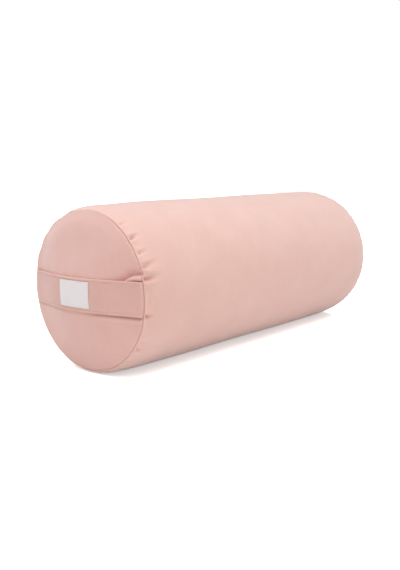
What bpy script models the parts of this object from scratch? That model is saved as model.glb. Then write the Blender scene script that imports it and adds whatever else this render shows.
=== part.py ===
# Round yoga bolster: a cotton canvas cover with crowned ends, a carrying strap and a long zip,
# round a liner bag that holds the husk filling. Metres, +Z up, the roll lies along X with the
# strap end at -X, and its flat resting patch is centred on the origin.
import math

import bmesh
import bpy
from mathutils import Matrix, Vector

# Driving dimensions of the stuffed roll
barrel_radius = 0.113  # widest part of the barrel
seam_radius = 0.1055  # circle of the end seams
seam_to_seam = 0.549  # length of the barrel panel between the end seams
draw_in_length = 0.066  # stretch at each end over which the barrel draws in to its seam
draw_in_power = 0.81  # how square the shoulder of the barrel is
crown_height = 0.0212  # how far an end panel swells past its rim
crown_power = 1.63  # how softly the crown runs out to the rim
rest_width = 0.056  # width of the patch that the roll's weight presses flat

# Fabrics and the clearances between separate pieces
canvas_thickness = 0.0009
liner_thickness = 0.0007
seam_allowance = 0.008  # edge of a barrel panel, turned in behind the end panel
clearance = 0.0003  # between pieces that touch
liner_play = 0.0004  # between the liner and the underside of the slider

# Carrying strap and the bare woven patch on it
strap_width = 0.045
strap_drop = 0.0014  # the strap's middle lies this far below the roll's axis
strap_thickness = 0.0022  # four layers of canvas
strap_play = 0.0005  # between the strap and the crowned panel
patch_width = 0.054
patch_height = 0.034
patch_thickness = 0.0004

# Zip: moulded teeth on woven tape, along the back of the barrel
zip_angle = math.radians(25)  # height of the zip line above the back of the roll
tape_width = 0.012
tape_thickness = 0.0006
tape_tail = 0.012  # tape past the stops, under the cover
tape_margin = 0.0015  # between the tape's ends and the drawn-in stretch
tooth_pitch = 0.003  # along one row
tooth_neck = 0.0010  # width of a tooth where it leaves its spine
tooth_head = 0.0013  # width of a tooth at its widest
tooth_nose = 0.0008  # width of a tooth at its tip
spine_outer = 0.0027  # outer edge of a row, from the zip line
spine_inner = 0.0013  # edge that the teeth stand on
head_reach = 0.0006  # the widest part of a tooth lies this far past the zip line
nose_reach = 0.0009  # the tip of a tooth lies this far past the zip line
chain_thickness = 0.0024
row_parting = 0.0019  # how far each row swings out round the slider's post
parting_start = 0.0045  # where the rows start to part, behind the slider's middle
parting_run = 0.0065
stop_length = 0.0025
bottom_stop_length = 0.004
stop_proud = 0.0003  # a stop is this much wider than its row, on each side
slot_half_width = 0.0072  # the folded edges of the cover, from the zip line
slot_margin = 0.003

# Slider and pull
slider_length = 0.011
slider_plate = 0.0009
slider_flange = 0.0008
post_half_width = 0.0006
post_nose = 0.0002  # half width of the post's inner end
post_length = 0.0045
bridge_wire = 0.0006  # half the thickness of the bridge
bridge_half_length = 0.0034
bridge_rise = 0.003
pull_axis_rise = 0.0012  # the pull's crossbar above the slider's upper plate
pull_length = 0.027
pull_thickness = 0.0012
pull_half_width = 0.004
pull_eye_half_width = 0.0022
pull_hole_half_width = 0.001
pull_hole_end = 0.0052

# Facets
cover_sides = 48
liner_sides = 32
cover_shoulder_steps = 4
liner_shoulder_steps = 3
cover_dome_rings = 6
liner_dome_rings = 4
fill_dome_rings = 3
weld_distance = 0.000001

# Worked out from the driving dimensions
half_barrel = seam_to_seam / 2
layer_gap = clearance + barrel_radius * (1 - math.cos(math.pi / cover_sides))
rest_level = -math.sqrt(barrel_radius ** 2 - (rest_width / 2) ** 2)
cover_plane = half_barrel + clearance + canvas_thickness
strap_base = cover_plane + strap_play
patch_base = strap_base + strap_thickness + clearance
end_shift = (patch_base + patch_thickness - cover_plane) / 2

tape_radius = barrel_radius - canvas_thickness - layer_gap
tape_edge = spine_outer + clearance
chain_low = tape_radius - tape_thickness
chain_high = chain_low + chain_thickness
flange_inner = tape_edge + row_parting
flange_outer = flange_inner + slider_flange
tape_droop = tape_radius - math.sqrt(tape_radius ** 2 - flange_outer ** 2)
lower_plate_top = chain_low - tape_droop - clearance
lower_plate_low = lower_plate_top - slider_plate
upper_plate_low = chain_high + clearance
upper_plate_top = upper_plate_low + slider_plate
pull_axis_height = upper_plate_top + pull_axis_rise

tape_end = half_barrel - draw_in_length - tape_margin
top_stop_start = tape_tail - tape_end
top_stop_end = top_stop_start + stop_length
bottom_stop_end = tape_end - tape_tail
bottom_stop_start = bottom_stop_end - bottom_stop_length
slider_closed = top_stop_end + clearance + slider_length / 2
slider_open = bottom_stop_start - clearance - slider_length / 2

liner_radius = lower_plate_low - liner_play
liner_inset = barrel_radius - liner_radius
liner_seam_radius = seam_radius - liner_inset
liner_half = half_barrel - liner_inset
liner_plane = liner_half + clearance + liner_thickness
liner_rest_level = rest_level + canvas_thickness + clearance
fill_radius = liner_radius - liner_thickness - layer_gap
fill_seam_radius = liner_seam_radius - liner_thickness - layer_gap
fill_half = liner_half - liner_thickness - clearance
fill_dome_radius = liner_seam_radius - seam_allowance - clearance
fill_rest_level = liner_rest_level + liner_thickness + clearance


def new_collection(name):
    collection = bpy.data.collections.new(name)
    bpy.context.scene.collection.children.link(collection)
    return collection


def clear_scene():
    for item in list(bpy.data.objects):
        bpy.data.objects.remove(item, do_unlink=True)
    for collection in list(bpy.data.collections):
        bpy.data.collections.remove(collection)


clear_scene()
parts = new_collection("yoga_bolster")
cutters = new_collection("cutters")


def finish_material(name, colour, roughness, metallic=0.0):
    material = bpy.data.materials.new(name)
    material.use_nodes = True
    shader = material.node_tree.nodes["Principled BSDF"]
    shader.inputs["Base Color"].default_value = (*colour, 1.0)
    shader.inputs["Roughness"].default_value = roughness
    shader.inputs["Metallic"].default_value = metallic
    return material


barrel_canvas = finish_material("barrel_canvas", (0.80, 0.55, 0.47), 0.85)
end_canvas = finish_material("end_canvas", (0.72, 0.47, 0.41), 0.85)
strap_canvas = finish_material("strap_canvas", (0.70, 0.46, 0.40), 0.85)
patch_weave = finish_material("patch_weave", (0.88, 0.87, 0.85), 0.7)
tape_weave = finish_material("tape_weave", (0.66, 0.42, 0.37), 0.8)
tooth_plastic = finish_material("tooth_plastic", (0.62, 0.40, 0.36), 0.4)
stop_plastic = finish_material("stop_plastic", (0.60, 0.38, 0.34), 0.4)
slider_metal = finish_material("slider_metal", (0.60, 0.60, 0.61), 0.35, 1.0)
pull_metal = finish_material("pull_metal", (0.62, 0.62, 0.63), 0.35, 1.0)
liner_cotton = finish_material("liner_cotton", (0.80, 0.76, 0.66), 0.9)
husk_fill = finish_material("husk_fill", (0.42, 0.29, 0.16), 0.95)


def add_empty(name, parent, location=(0, 0, 0), turn_about_x=0.0):
    empty = bpy.data.objects.new(name, None)
    empty.empty_display_size = 0.02
    empty.location = location
    empty.rotation_euler = (turn_about_x, 0, 0)
    empty.parent = parent
    parts.objects.link(empty)
    return empty


def add_part(name, mesh, material, parent, location=(0, 0, 0)):
    item = bpy.data.objects.new(name, mesh)
    item.location = location
    item.parent = parent
    mesh.materials.clear()
    mesh.materials.append(material)
    mesh.shade_smooth()
    mesh.set_sharp_from_angle(angle=math.radians(35))
    parts.objects.link(item)
    return item


def add_cutter(name, mesh, parent, location=(0, 0, 0)):
    item = bpy.data.objects.new(name, mesh)
    item.location = location
    item.parent = parent
    item.hide_render = True
    item.display_type = "WIRE"
    cutters.objects.link(item)
    return item


def add_solidify(item, thickness, side):
    solidify = item.modifiers.new("thickness", "SOLIDIFY")
    solidify.thickness = thickness
    solidify.offset = side
    solidify.use_even_offset = True
    solidify.use_rim = True
    return solidify


def add_boolean(item, operand, operation):
    boolean = item.modifiers.new(operation.lower(), "BOOLEAN")
    boolean.operation = operation
    boolean.object = operand
    boolean.solver = "EXACT"
    return boolean


def add_bevel(item, width):
    bevel = item.modifiers.new("rounded_edges", "BEVEL")
    bevel.width = width
    bevel.segments = 1
    bevel.limit_method = "ANGLE"
    bevel.angle_limit = math.radians(60)
    return bevel


def evaluated_mesh(item):
    depsgraph = bpy.context.evaluated_depsgraph_get()
    mesh = bpy.data.meshes.new_from_object(item.evaluated_get(depsgraph))
    bpy.data.objects.remove(item, do_unlink=True)
    return mesh


def weld_and_face_out(mesh):
    work = bmesh.new()
    work.from_mesh(mesh)
    bmesh.ops.remove_doubles(work, verts=work.verts, dist=weld_distance)
    bmesh.ops.recalc_face_normals(work, faces=work.faces)
    work.to_mesh(mesh)
    work.free()
    return mesh


# Turned shapes
# An outline is a list of (place along the roll, radius), from the rear end to the front end.
def turned_mesh(name, outline, sides):
    profile = bpy.data.meshes.new(name)
    points = [(radius, 0, place) for place, radius in outline]
    links = [(index, index + 1) for index in range(len(points) - 1)]
    profile.from_pydata(points, links, [])
    turning = bpy.data.objects.new(name + "_turning", profile)
    bpy.context.scene.collection.objects.link(turning)
    screw = turning.modifiers.new("turn", "SCREW")
    screw.axis = "Z"
    screw.angle = 2 * math.pi
    screw.steps = sides
    screw.render_steps = sides
    screw.use_merge_vertices = True
    screw.merge_threshold = weld_distance
    mesh = evaluated_mesh(turning)
    mesh.transform(Matrix.Rotation(math.pi / 2, 4, "Y"))
    return mesh


def press_flat(mesh, level):
    # Cuts the underside off at the level that the weight presses it to, and closes it flat.
    work = bmesh.new()
    work.from_mesh(mesh)
    everything = work.verts[:] + work.edges[:] + work.faces[:]
    cut = bmesh.ops.bisect_plane(work, geom=everything, dist=weld_distance, plane_co=(0, 0, level),
                                 plane_no=(0, 0, -1), clear_outer=True)
    rim = [item for item in cut["geom_cut"] if isinstance(item, bmesh.types.BMEdge)]
    patch = bmesh.ops.holes_fill(work, edges=rim, sides=0)["faces"]
    work.normal_update()
    bmesh.ops.reverse_faces(work, faces=[face for face in patch if face.normal.z > 0])
    work.to_mesh(mesh)
    work.free()
    return mesh


def shoulder(half_length, radius, rim_radius, steps):
    # Points from the seam up to the full radius, on the rear half, closest together at the seam.
    points = []
    for step in range(steps + 1):
        part = 1 - math.cos(math.pi / 2 * step / steps)
        rise = (1 - (1 - part) ** 2) ** (draw_in_power / 2)
        points.append((half_length - part * draw_in_length, rim_radius + (radius - rim_radius) * rise))
    return points


def mirrored(outline):
    return [(-place, radius) for place, radius in reversed(outline)]


def barrel_outline(half_length, radius, rim_radius, steps):
    rear = [(half_length, rim_radius - seam_allowance)]
    rear += shoulder(half_length, radius, rim_radius, steps)
    return rear + mirrored(rear)


def crown_at(radius, rim_radius):
    return crown_height * max(0.0, 1 - (radius / rim_radius) ** 2) ** crown_power


def dome_outline(plane, rim_radius, rings):
    # Points from the middle of the crowned rear panel out to its rim.
    radii = [rim_radius * math.sin(math.pi / 2 * ring / rings) for ring in range(rings + 1)]
    return [(plane + crown_at(radius, rim_radius), radius) for radius in radii]


def barrel_shell(name, half_length, radius, rim_radius, steps, sides, level):
    outline = barrel_outline(half_length, radius, rim_radius, steps)
    return press_flat(turned_mesh(name, outline, sides), level)


def end_shell(name, plane, rim_radius, rings, sides, rear):
    mesh = turned_mesh(name, dome_outline(plane, rim_radius, rings), sides)
    if not rear:
        mesh.transform(Matrix.Rotation(math.pi, 4, "Z"))
    return mesh


# Sheets that lie on a curved surface
def laid_sheet(name, columns, rows, place, outward):
    # place gives the point for a share of the way along and across the sheet.
    work = bmesh.new()
    bmesh.ops.create_grid(work, x_segments=columns, y_segments=rows, size=0.5)
    for vertex in work.verts:
        vertex.co = place(vertex.co.x + 0.5, vertex.co.y + 0.5)
    work.normal_update()
    facing = sum((face.normal for face in work.faces), Vector())
    if facing.dot(Vector(outward)) < 0:
        bmesh.ops.reverse_faces(work, faces=work.faces)
    mesh = bpy.data.meshes.new(name)
    work.to_mesh(mesh)
    work.free()
    return mesh


# Flat outlines with a thickness, and bent wire
def plate_mesh(name, outlines, low, high):
    curve = bpy.data.curves.new(name, "CURVE")
    curve.dimensions = "2D"
    curve.fill_mode = "BOTH"
    curve.extrude = (high - low) / 2
    for outline in outlines:
        spline = curve.splines.new("POLY")
        spline.points.add(len(outline) - 1)
        for point, (x, y) in zip(spline.points, outline):
            point.co = (x, y, 0, 1)
        spline.use_cyclic_u = True
    flat = bpy.data.objects.new(name + "_outline", curve)
    bpy.context.scene.collection.objects.link(flat)
    mesh = weld_and_face_out(evaluated_mesh(flat))
    mesh.transform(Matrix.Translation((0, 0, (low + high) / 2)))
    bpy.data.curves.remove(curve)
    return mesh


def wire_mesh(name, route, half_thickness):
    curve = bpy.data.curves.new(name, "CURVE")
    curve.dimensions = "3D"
    curve.bevel_depth = half_thickness
    curve.bevel_resolution = 2
    curve.use_fill_caps = True
    spline = curve.splines.new("POLY")
    spline.points.add(len(route) - 1)
    for point, place in zip(spline.points, route):
        point.co = (*place, 1)
    wire = bpy.data.objects.new(name + "_wire", curve)
    bpy.context.scene.collection.objects.link(wire)
    mesh = weld_and_face_out(evaluated_mesh(wire))
    bpy.data.curves.remove(curve)
    return mesh


def box_mesh(name, low, high):
    work = bmesh.new()
    bmesh.ops.create_cube(work, size=1.0)
    for vertex in work.verts:
        vertex.co = [low[i] + (vertex.co[i] + 0.5) * (high[i] - low[i]) for i in range(3)]
    mesh = bpy.data.meshes.new(name)
    work.to_mesh(mesh)
    work.free()
    return mesh


# The rows of the zip part round the slider's post at the closed end
def parting_at(x):
    share = min(1.0, max(0.0, (slider_closed + parting_start - x) / parting_run))
    return row_parting * share * share * (3 - 2 * share)


def row_outline(side, first_tooth):
    start = top_stop_end + clearance
    end = bottom_stop_start - clearance
    inner = [(start, spine_inner)]
    middle = first_tooth
    while middle + tooth_head / 2 < end:
        for width, reach in ((tooth_neck, spine_inner), (tooth_head, -head_reach), (tooth_nose, -nose_reach)):
            inner.append((middle - width / 2, reach))
        for width, reach in ((tooth_nose, -nose_reach), (tooth_head, -head_reach), (tooth_neck, spine_inner)):
            inner.append((middle + width / 2, reach))
        middle += tooth_pitch
    inner.append((end, spine_inner))
    parting_stations = 6
    parted = [slider_closed + parting_start - parting_run * step / parting_stations
              for step in range(parting_stations + 1)]
    outer = [(x, spine_outer) for x in [end] + parted + [start]]
    return [(x, side * (reach + parting_at(x))) for x, reach in inner + outer]


def tape_place(side):
    def place(along, across):
        # Half of the stations lie where the tape's edge follows the parting rows.
        parted_end = slider_closed + parting_start
        if along < 0.5:
            x = -tape_end + (parted_end + tape_end) * along * 2
        else:
            x = parted_end + (tape_end - parted_end) * (along * 2 - 1)
        inner = tape_edge + parting_at(x)
        outer = tape_edge + tape_width
        y = inner + (outer - inner) * across
        return Vector((x, side * y, math.sqrt(tape_radius ** 2 - y ** 2)))
    return place


def strap_reach(z):
    return math.sqrt(seam_radius ** 2 - z ** 2)


def on_crown(base):
    # A point on the front end, over the crowned panel, with y and z from the roll's axis.
    def place(y, z):
        return Vector((-base - crown_at(math.hypot(y, z), seam_radius), y, z))
    return place


roll_axis = add_empty("roll_axis", None, (end_shift, 0, -rest_level))
zip_line = add_empty("zip_line", roll_axis, turn_about_x=zip_angle - math.pi / 2)

# Outer cover
cover_barrel = add_part(
    "cover_barrel",
    barrel_shell("cover_barrel", half_barrel, barrel_radius, seam_radius, cover_shoulder_steps,
                 cover_sides, rest_level),
    barrel_canvas, roll_axis)
add_solidify(cover_barrel, canvas_thickness, -1)
slot = add_cutter(
    "zip_slot",
    box_mesh("zip_slot", (top_stop_start - slot_margin, -slot_half_width, tape_radius - tape_thickness),
             (bottom_stop_end + slot_margin, slot_half_width, barrel_radius + canvas_thickness)),
    zip_line)
add_boolean(cover_barrel, slot, "DIFFERENCE")

for name, rear in (("cover_end_front", False), ("cover_end_rear", True)):
    end_panel = add_part(name, end_shell(name, cover_plane, seam_radius, cover_dome_rings, cover_sides, rear),
                         end_canvas, roll_axis)
    add_solidify(end_panel, canvas_thickness, -1)

# Liner bag and its filling
liner_barrel = add_part(
    "liner_barrel",
    barrel_shell("liner_barrel", liner_half, liner_radius, liner_seam_radius, liner_shoulder_steps,
                 liner_sides, liner_rest_level),
    liner_cotton, roll_axis)
add_solidify(liner_barrel, liner_thickness, -1)

for name, rear in (("liner_end_front", False), ("liner_end_rear", True)):
    end_panel = add_part(name, end_shell(name, liner_plane, liner_seam_radius, liner_dome_rings, liner_sides, rear),
                         liner_cotton, roll_axis)
    add_solidify(end_panel, liner_thickness, -1)

fill_rear = dome_outline(fill_half, fill_dome_radius, fill_dome_rings)
fill_rear += shoulder(fill_half, fill_radius, fill_seam_radius, liner_shoulder_steps)
husks = turned_mesh("husk_filling", fill_rear + mirrored(fill_rear), liner_sides)
add_part("husk_filling", press_flat(husks, fill_rest_level), husk_fill, roll_axis)


# Carrying strap, on its own origin at the middle of the crown
strap_origin = Vector((-strap_base - crown_height, 0, -strap_drop))


def strap_place(along, across):
    z = (across - 0.5) * strap_width - strap_drop
    y = (along * 2 - 1) * strap_reach(z)
    return on_crown(strap_base)(y, z) - strap_origin


def patch_place(along, across):
    z = (across - 0.5) * patch_height - strap_drop
    y = (along - 0.5) * patch_width
    return on_crown(patch_base)(y, z) - strap_origin


handle_strap = add_part("handle_strap", laid_sheet("handle_strap", 20, 3, strap_place, (-1, 0, 0)),
                        strap_canvas, roll_axis, strap_origin)
add_solidify(handle_strap, strap_thickness, 1)
label_patch = add_part("label_patch", laid_sheet("label_patch", 8, 2, patch_place, (-1, 0, 0)),
                       patch_weave, roll_axis, strap_origin)
add_solidify(label_patch, patch_thickness, 1)

# Zip tapes, tooth rows and stops; the lower row is on the floor's side of the zip line
for side, level_name, first_tooth in ((1, "lower", 0.5), (-1, "upper", 1.0)):
    tape = add_part("zip_tape_" + level_name,
                    laid_sheet("zip_tape_" + level_name, 12, 2, tape_place(side), (0, 0, 1)),
                    tape_weave, zip_line)
    add_solidify(tape, tape_thickness, -1)
    row = row_outline(side, top_stop_end + clearance + first_tooth * tooth_pitch)
    add_part("zip_teeth_" + level_name,
             plate_mesh("zip_teeth_" + level_name, [row], chain_low, chain_high),
             tooth_plastic, zip_line)
    near, far = sorted((side * (row_parting + spine_inner - stop_proud),
                        side * (row_parting + spine_outer)))
    top_stop = add_part("zip_top_stop_" + level_name,
                        box_mesh("zip_top_stop_" + level_name, (top_stop_start, near, chain_low),
                                 (top_stop_end, far, chain_high + stop_proud)),
                        stop_plastic, zip_line)
    add_bevel(top_stop, 0.0003)

bottom_stop = add_part("zip_bottom_stop",
                       box_mesh("zip_bottom_stop", (bottom_stop_start, -spine_outer, chain_low),
                                (bottom_stop_end, spine_outer, chain_high + stop_proud)),
                       stop_plastic, zip_line)
add_bevel(bottom_stop, 0.0003)


# Slider, on its own origin at the zip line
def slider_edge(extra):
    # Half outline of the slider from its mouth to its rear end, just outside the parted rows.
    stations = 5
    edge = []
    for step in range(stations + 1):
        x = -slider_length / 2 + slider_length * step / stations
        edge.append((x, tape_edge + parting_at(slider_closed + x) + extra))
    return edge


outer_edge = slider_edge(slider_flange)
inner_edge = slider_edge(0.0)
slider_shape = outer_edge + [(x, -y) for x, y in reversed(outer_edge)]
zip_slider = add_part("zip_slider",
                      plate_mesh("zip_slider", [slider_shape], upper_plate_low, upper_plate_top),
                      slider_metal, zip_line, (slider_closed, 0, 0))
bite = slider_plate / 2  # how far joined pieces run into the plates
slider_pieces = [("slider_lower_plate", slider_shape, lower_plate_low, lower_plate_top)]
for side, flange_name in ((1, "slider_flange_lower"), (-1, "slider_flange_upper")):
    flange = [(x, side * y) for x, y in outer_edge + inner_edge[::-1]]
    slider_pieces.append((flange_name, flange, tape_radius + clearance, upper_plate_low + bite))
mouth = -slider_length / 2
post = [(mouth, -post_half_width), (mouth + post_length, -post_nose), (mouth + post_length, post_nose),
        (mouth, post_half_width)]
slider_pieces.append(("slider_post", post, lower_plate_top - bite, upper_plate_low + bite))
for name, outline, low, high in slider_pieces:
    piece = add_cutter(name, plate_mesh(name, [outline], low, high), zip_line, (slider_closed, 0, 0))
    add_boolean(zip_slider, piece, "UNION")
bridge_low = upper_plate_top - bite
bridge_shoulder = upper_plate_top + bridge_rise - 2 * bridge_wire
bridge_top = upper_plate_top + bridge_rise
bridge_run = bridge_half_length - 2 * bridge_wire
bridge_route = [(-bridge_half_length, 0, bridge_low), (-bridge_half_length, 0, bridge_shoulder),
                (-bridge_run, 0, bridge_top), (bridge_run, 0, bridge_top),
                (bridge_half_length, 0, bridge_shoulder), (bridge_half_length, 0, bridge_low)]
bridge = add_cutter("slider_bridge", wire_mesh("slider_bridge", bridge_route, bridge_wire), zip_line,
                    (slider_closed, 0, 0))
add_boolean(zip_slider, bridge, "UNION")

# Pull, on its own origin at its crossbar's axis; it lies along the closed chain
pull_origin = Vector((slider_closed, 0, pull_axis_height))
crossbar = pull_thickness / 2
round_steps = 6
pull_half = [(-crossbar, pull_eye_half_width), (pull_hole_end, pull_eye_half_width)]
for step in range(round_steps + 1):
    turn = math.pi / 2 * (1 - step / round_steps)
    pull_half.append((pull_length - pull_half_width * (1 - math.cos(turn)) if step else
                      pull_length - pull_half_width, pull_half_width * math.sin(turn)))
pull_half = pull_half[:-1]
pull_outline = pull_half + [(pull_length, 0)] + [(x, -y) for x, y in reversed(pull_half)]
pull_hole = [(crossbar, -pull_hole_half_width), (pull_hole_end, -pull_hole_half_width),
             (pull_hole_end, pull_hole_half_width), (crossbar, pull_hole_half_width)]
zip_pull = add_part("zip_pull",
                    plate_mesh("zip_pull", [pull_outline, pull_hole], -pull_thickness / 2, pull_thickness / 2),
                    pull_metal, zip_line, pull_origin)

print("overall length %.4f m" % (2 * (cover_plane + crown_height) + 2 * end_shift))
print("axis height %.5f m, end shift %.5f m" % (-rest_level, end_shift))
print("slider travel %.4f m, from x %.4f m" % (slider_open - slider_closed, slider_closed + end_shift))
print("pull axis %.5f m from the roll's axis" % pull_axis_height)
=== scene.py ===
# Yoga bolster: the looks of the stuffed canvas roll, its strap, bare patch and zip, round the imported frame.
# The roll lies along X with the strap end at -X. Sizes are in metres.
import math
import random

import bmesh
import bpy
import numpy as np
from mathutils import Matrix, Vector


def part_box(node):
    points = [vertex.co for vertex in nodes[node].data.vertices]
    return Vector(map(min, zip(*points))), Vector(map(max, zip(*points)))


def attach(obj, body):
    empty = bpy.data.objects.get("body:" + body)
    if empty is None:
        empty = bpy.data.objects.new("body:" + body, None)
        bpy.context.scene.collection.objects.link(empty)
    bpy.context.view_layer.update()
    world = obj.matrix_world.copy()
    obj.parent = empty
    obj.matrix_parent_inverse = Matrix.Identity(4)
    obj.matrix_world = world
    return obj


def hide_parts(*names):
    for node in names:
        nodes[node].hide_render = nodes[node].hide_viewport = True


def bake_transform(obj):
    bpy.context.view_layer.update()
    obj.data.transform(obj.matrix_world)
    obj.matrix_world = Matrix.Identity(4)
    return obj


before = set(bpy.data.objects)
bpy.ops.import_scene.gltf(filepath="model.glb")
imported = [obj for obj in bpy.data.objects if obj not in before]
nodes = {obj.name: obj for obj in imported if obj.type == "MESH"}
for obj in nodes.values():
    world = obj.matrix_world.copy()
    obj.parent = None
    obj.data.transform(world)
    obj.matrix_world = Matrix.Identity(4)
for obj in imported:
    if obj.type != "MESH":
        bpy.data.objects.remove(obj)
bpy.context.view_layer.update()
print("frame loaded with", len(nodes), "nodes")

# Main sizes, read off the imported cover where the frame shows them
barrelLow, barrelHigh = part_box("cover_barrel")
panelLow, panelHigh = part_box("cover_end_front")
roll = {
    "radius": (barrelHigh.y - barrelLow.y) / 2,
    "half": (barrelHigh.x - barrelLow.x) / 2,  # from the middle to an end seam
    "middle": (barrelHigh.x + barrelLow.x) / 2,
    "seamRadius": (panelHigh.y - panelLow.y) / 2,
    "seamGap": 0.0003,  # between the barrel's edge and a panel's
    "drawIn": 0.066,  # stretch over which the barrel draws in to its seam
    "drawInPower": 0.81,
    "crown": 0.0212,  # how far an end panel bulges
    "crownPower": 1.63,
    "canvas": 0.0009,  # thickness of the cloth
    "zipAngle": math.radians(155),  # angles run from -Y, over the top, to the back
}
roll["axisHeight"] = barrelHigh.z - roll["radius"]
# Outer face of an end panel's rim, from the middle
panelPlane = roll["half"] + roll["seamGap"] + roll["canvas"]
# Out from the axis through the zip, and along the cloth there towards growing angles
zipOut = Vector((0, -math.cos(roll["zipAngle"]), math.sin(roll["zipAngle"])))
zipSide = Vector((0, math.sin(roll["zipAngle"]), math.cos(roll["zipAngle"])))


# Colours and shader nodes
def linearColour(hexColour):
    parts = [int(hexColour[i:i + 2], 16) / 255 for i in (1, 3, 5)]
    return [p / 12.92 if p <= 0.04045 else ((p + 0.055) / 1.055) ** 2.4 for p in parts] + [1.0]


def setInputs(tree, node, inputs):
    # An input takes a value, a socket, or a node, which then gives its first output.
    for name, value in inputs.items():
        if isinstance(value, bpy.types.Node):
            value = value.outputs[0]
        if isinstance(value, bpy.types.NodeSocket):
            tree.links.new(value, node.inputs[name])
        else:
            node.inputs[name].default_value = value


def addNode(tree, kind, settings=None, inputs=None):
    node = tree.nodes.new("ShaderNode" + kind)
    for name, value in (settings or {}).items():
        setattr(node, name, value)
    setInputs(tree, node, inputs or {})
    return node


def newFinish(name, inputs):
    material = bpy.data.materials.new(name)
    material.use_nodes = True
    shader = material.node_tree.nodes["Principled BSDF"]
    setInputs(material.node_tree, shader, inputs)
    return material, material.node_tree, shader


def clothPlace(tree, look):
    # Where a point lies in the flat cloth: metres along and across it.
    place = addNode(tree, "TexCoord").outputs["Object"]
    axes = addNode(tree, "SeparateXYZ", {}, {0: place})
    if look["lie"] == "flat":
        return axes.outputs["Y"], axes.outputs["Z"]
    centre = (0, 0, roll["axisHeight"])
    fromAxis = addNode(tree, "VectorMath", {"operation": "SUBTRACT"}, {0: place, 1: centre})
    parts = [addNode(tree, "VectorMath", {"operation": "DOT_PRODUCT"}, {0: fromAxis, 1: way}).outputs["Value"]
             for way in (zipSide, -zipOut)]
    turn = addNode(tree, "Math", {"operation": "ARCTAN2"}, {0: parts[0], 1: parts[1]})
    across = addNode(tree, "Math", {"operation": "MULTIPLY"}, {0: turn, 1: roll["radius"]})
    return axes.outputs["X"], across


# What all weaves share: where the noises of thread and dye turn from dark to light, and how far up the
# threads, as a share of their rise, the shade of the gaps reaches
weave = {"slubRange": (0.75, 1.25), "dyeRange": (0.3, 0.7), "gapReach": 0.5}


def wovenCloth(name, look):
    # Plain weave: threads that pass over and under each other, with a thicker thread here and there.
    material, tree, shader = newFinish(name, {
        "Roughness": look["roughness"], "IOR": 1.5, "Specular IOR Level": look["specular"],
        "Sheen Weight": look["sheen"], "Sheen Roughness": look["sheenRoughness"],
        "Sheen Tint": linearColour(look["sheenTint"])})
    along, across = clothPlace(tree, look)
    overUnder = []
    for direction in (along, across):
        phase = addNode(tree, "Math", {"operation": "MULTIPLY"}, {0: direction, 1: math.pi / look["thread"]})
        overUnder.append(addNode(tree, "Math", {"operation": "SINE"}, {0: phase}))
    crossing = addNode(tree, "Math", {"operation": "MULTIPLY"}, {0: overUnder[0], 1: overUnder[1]})
    rise = addNode(tree, "Math", {"operation": "ABSOLUTE"}, {0: crossing})
    slubs = []
    for wide, long in ((look["slubWidth"], look["slubLength"]), (look["slubLength"], look["slubWidth"])):
        stretched = [addNode(tree, "Math", {"operation": "DIVIDE"}, {0: direction, 1: size})
                     for direction, size in ((along, long), (across, wide))]
        spot = addNode(tree, "CombineXYZ", {}, {0: stretched[0], 1: stretched[1]})
        slubs.append(addNode(tree, "TexNoise", {"noise_dimensions": "2D"},
                             {"Vector": spot, "Scale": 1.0, "Detail": 1.0}))
    slub = addNode(tree, "Math", {"operation": "ADD"}, {0: slubs[0], 1: slubs[1]})
    flat = addNode(tree, "CombineXYZ", {}, {0: along, 1: across})
    dye = addNode(tree, "TexNoise", {"noise_dimensions": "2D"},
                  {"Vector": flat, "Scale": 1 / look["dyePatch"], "Detail": 2.0})
    shades = [addNode(tree, "MapRange", {}, {"Value": noise, "From Min": low, "From Max": high})
              for noise, (low, high) in ((slub, weave["slubRange"]), (dye, weave["dyeRange"]))]
    shade = addNode(tree, "Mix", {"data_type": "FLOAT"}, {0: 0.5, 2: shades[0], 3: shades[1]})
    tone = addNode(tree, "Mix", {"data_type": "RGBA"},
                   {0: shade, 6: linearColour(look["dark"]), 7: linearColour(look["light"])}).outputs[2]
    # Painted shade in the gaps between the threads, strongest where the threads lie lowest
    gap = addNode(tree, "MapRange", {},
                  {"Value": rise, "From Max": weave["gapReach"], "To Min": 1.0, "To Max": 0.0})
    gapShadeShare = addNode(tree, "Math", {"operation": "MULTIPLY"}, {0: gap, 1: look["gapShadeDepth"]})
    colour = addNode(tree, "Mix", {"data_type": "RGBA"},
                     {0: gapShadeShare, 6: tone, 7: linearColour(look["gap"])}).outputs[2]
    slubRise = addNode(tree, "Math", {"operation": "MULTIPLY"}, {0: slub, 1: look["slubRise"]})
    height = addNode(tree, "Math", {"operation": "ADD"}, {0: rise, 1: slubRise})
    bump = addNode(tree, "Bump", {}, {"Height": height, "Strength": look["bump"], "Distance": look["relief"]})
    setInputs(tree, shader, {"Base Color": colour, "Normal": bump})
    return material


# Cotton canvas, plain weave and piece-dyed: dull, with a short nap that pales it at a slant.
# A 10 oz canvas has about 17 threads per cm, so a crossing is 0.6 mm; slubs run for about 25 mm.
# Its gap colour is the painted shade between the threads.
canvasLook = {
    "lie": "round", "thread": 0.0006, "slubWidth": 0.0011, "slubLength": 0.025, "slubRise": 0.8,
    "dyePatch": 0.05, "light": "#F0C3B5", "dark": "#EABAAB", "gap": "#BE8377", "gapShadeDepth": 0.25,
    "roughness": 0.8, "specular": 0.15, "sheen": 0.6, "sheenRoughness": 0.5, "sheenTint": "#FFFFFF",
    "bump": 0.35, "relief": 0.0001,
}
barrelCanvas = wovenCloth("cottonCanvasRound", canvasLook)

# The panels are the same canvas as the barrel, coloured a touch deeper and pinker as painted shade.
panelCanvasPaintedShade = wovenCloth("cottonCanvasFlatPaintedShade", {
    **canvasLook, "lie": "flat", "light": "#EFBFB3", "dark": "#E9B6A9"})

# The strap is the same canvas folded four times and pressed flat, so it looks less downy; it is coloured a
# shade deeper as painted shade.
strapCanvasPaintedShade = wovenCloth("cottonCanvasStrapPaintedShade", {
    **canvasLook, "lie": "flat", "light": "#E8BAAE", "dark": "#E2B0A4", "sheen": 0.4})

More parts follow.
